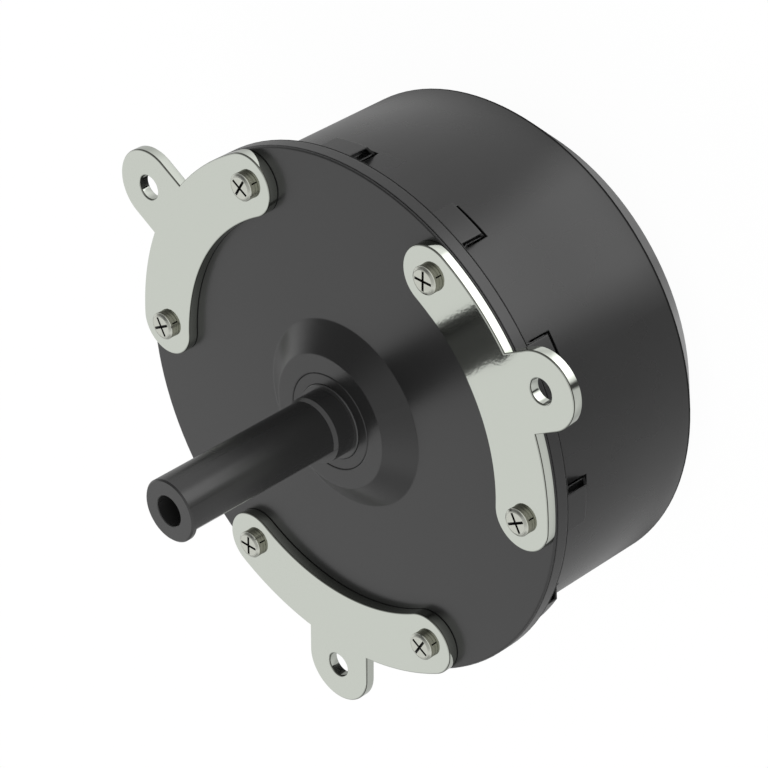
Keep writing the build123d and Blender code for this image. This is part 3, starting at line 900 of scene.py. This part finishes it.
def make_floor():
    """White floor under the drum's rear face: nearly pure white to the camera, with a faint shadow."""
    reach = 1.5
    drop = 0.5 * MM
    mesh = bpy.data.meshes.new("floor")
    mesh.from_pydata([(-reach, -reach, -drop), (reach, -reach, -drop),
                      (reach, reach, -drop), (-reach, reach, -drop)], [], [[0, 1, 2, 3]])
    floor = bpy.data.objects.new("floor", mesh)
    bpy.context.scene.collection.objects.link(floor)
    material, shader = new_material("white_sweep", linear("#f4f4f4"), 0.0, 0.9)
    path = add_node(material, "ShaderNodeLightPath")
    white = add_node(material, "ShaderNodeEmission", inputs={
        "Color": (1, 1, 1, 1), "Strength": settings().backdrop_white})
    glow = add_node(material, "ShaderNodeEmission", inputs={
        "Color": (1, 1, 1, 1), "Strength": floor_glow(material)})
    faint = add_node(material, "ShaderNodeMixShader", inputs={0: 0.95, 1: shader, 2: white})
    seen = add_node(material, "ShaderNodeMixShader", inputs={
        0: path.outputs["Is Camera Ray"], 1: shader, 2: faint})
    mirrored = add_node(material, "ShaderNodeMath", {"operation": "MAXIMUM"}, {
        0: path.outputs["Is Glossy Ray"], 1: path.outputs["Is Transmission Ray"]})
    surface = add_node(material, "ShaderNodeMixShader", inputs={0: mirrored, 1: seen, 2: glow})
    output = material.node_tree.nodes["Material Output"]
    link(material, surface.outputs["Shader"], output.inputs["Surface"])
    mesh.materials.append(material)


def make_world(scene):
    """White surroundings with dark flags, which shade the boss and the cone, and a dimmer top."""
    world = bpy.data.worlds.new("white_room")
    world.use_nodes = True
    background = world.node_tree.nodes["Background"]
    background.inputs["Color"].default_value = (1, 1, 1, 1)
    path = add_node(world, "ShaderNodeLightPath")
    way = add_node(world, "ShaderNodeTexCoord").outputs["Generated"]
    light = ROOM_LIGHT
    for azimuth, elevation, outer, full, left in SHADES:
        around, up = math.radians(azimuth), math.radians(elevation)
        centre = (math.cos(up) * math.cos(around), math.cos(up) * math.sin(around), math.sin(up))
        near = add_node(world, "ShaderNodeVectorMath", {"operation": "DOT_PRODUCT"}, {0: way, 1: centre})
        share = add_node(world, "ShaderNodeMapRange", {"interpolation_type": "SMOOTHSTEP"}, {
            "Value": near.outputs["Value"], "From Min": math.cos(math.radians(outer)),
            "From Max": math.cos(math.radians(full)), "To Min": 1.0, "To Max": left})
        light = add_node(world, "ShaderNodeMath", {"operation": "MULTIPLY"}, {0: light, 1: share})
    strength = add_node(world, "ShaderNodeMath", {"operation": "MAXIMUM"}, {
        0: path.outputs["Is Camera Ray"], 1: light})
    link(world, strength.outputs["Value"], background.inputs["Strength"])
    scene.world = world


def make_lamp(scene):
    """One soft key lamp, which mirrors don't show."""
    lamp = bpy.data.lights.new("key", "AREA")
    lamp.size = 0.6
    lamp.energy = 0.8
    key = bpy.data.objects.new("key", lamp)
    key.location = (0.1, -0.5, 0.6)
    key.rotation_mode = "QUATERNION"
    key.rotation_quaternion = (Vector((0, 0, 0.04)) - key.location).to_track_quat("-Z", "Y")
    key.visible_glossy = False
    scene.collection.objects.link(key)


def make_camera(scene):
    """Camera at the photograph's own place and lens."""
    lens = bpy.data.cameras.new("camera")
    lens.sensor_width = 36.0
    lens.lens = 159.82
    lens.clip_start = 0.01
    lens.clip_end = 10.0
    camera = bpy.data.objects.new("camera", lens)
    right = Vector((0.6186734, -0.3557950, -0.7004664))
    down = Vector((-0.0855356, -0.9167814, 0.3901224))
    forward = Vector((-0.7809782, -0.1814435, -0.5976214))
    turn = Matrix((right, -down, -forward)).transposed().to_4x4()
    camera.matrix_world = Matrix.Translation(Vector((0.454310, 0.106639, 0.382117))) @ turn
    scene.collection.objects.link(camera)
    scene.camera = camera


class HUBMOTOR_OT_stage(bpy.types.Operator):
    """Lays the floor and sets the lamp, the world and the camera"""
    bl_idname = "hub_motor.stage"
    bl_label = "Stage"

    def execute(self, context):
        scene = context.scene
        scene.view_settings.view_transform = "Standard"
        make_floor()
        make_world(scene)
        make_lamp(scene)
        make_camera(scene)
        return {"FINISHED"}


# Panel and registration

OPERATORS = (HUBMOTOR_OT_drum, HUBMOTOR_OT_shaft, HUBMOTOR_OT_bearings, HUBMOTOR_OT_magnets,
             HUBMOTOR_OT_stator, HUBMOTOR_OT_board, HUBMOTOR_OT_brackets, HUBMOTOR_OT_screws,
             HUBMOTOR_OT_stage)


class HUBMOTOR_PT_panel(bpy.types.Panel):
    """Shows the motor's settings and lists its operators"""
    bl_idname = "HUBMOTOR_PT_panel"
    bl_label = "Hub motor"
    bl_space_type = "VIEW_3D"
    bl_region_type = "UI"
    bl_category = "Hub motor"

    def draw(self, context):
        for name in MotorSettings.__annotations__:
            self.layout.prop(context.scene.hub_motor, name)
        for operator in OPERATORS:
            self.layout.operator(operator.bl_idname)


CLASSES = (MotorSettings, *OPERATORS, HUBMOTOR_PT_panel)


def register():
    for cls in CLASSES:
        bpy.utils.register_class(cls)
    bpy.types.Scene.hub_motor = bpy.props.PointerProperty(type=MotorSettings)


def unregister():
    del bpy.types.Scene.hub_motor
    for cls in reversed(CLASSES):
        bpy.utils.unregister_class(cls)


def main():
    register()
    bpy.ops.hub_motor.drum()
    bpy.ops.hub_motor.shaft()
    bpy.ops.hub_motor.bearings()
    bpy.ops.hub_motor.magnets()
    bpy.ops.hub_motor.stator()
    bpy.ops.hub_motor.board()
    bpy.ops.hub_motor.brackets()
    bpy.ops.hub_motor.screws()
    bpy.ops.hub_motor.stage()


if __name__ == "__main__":
    main()
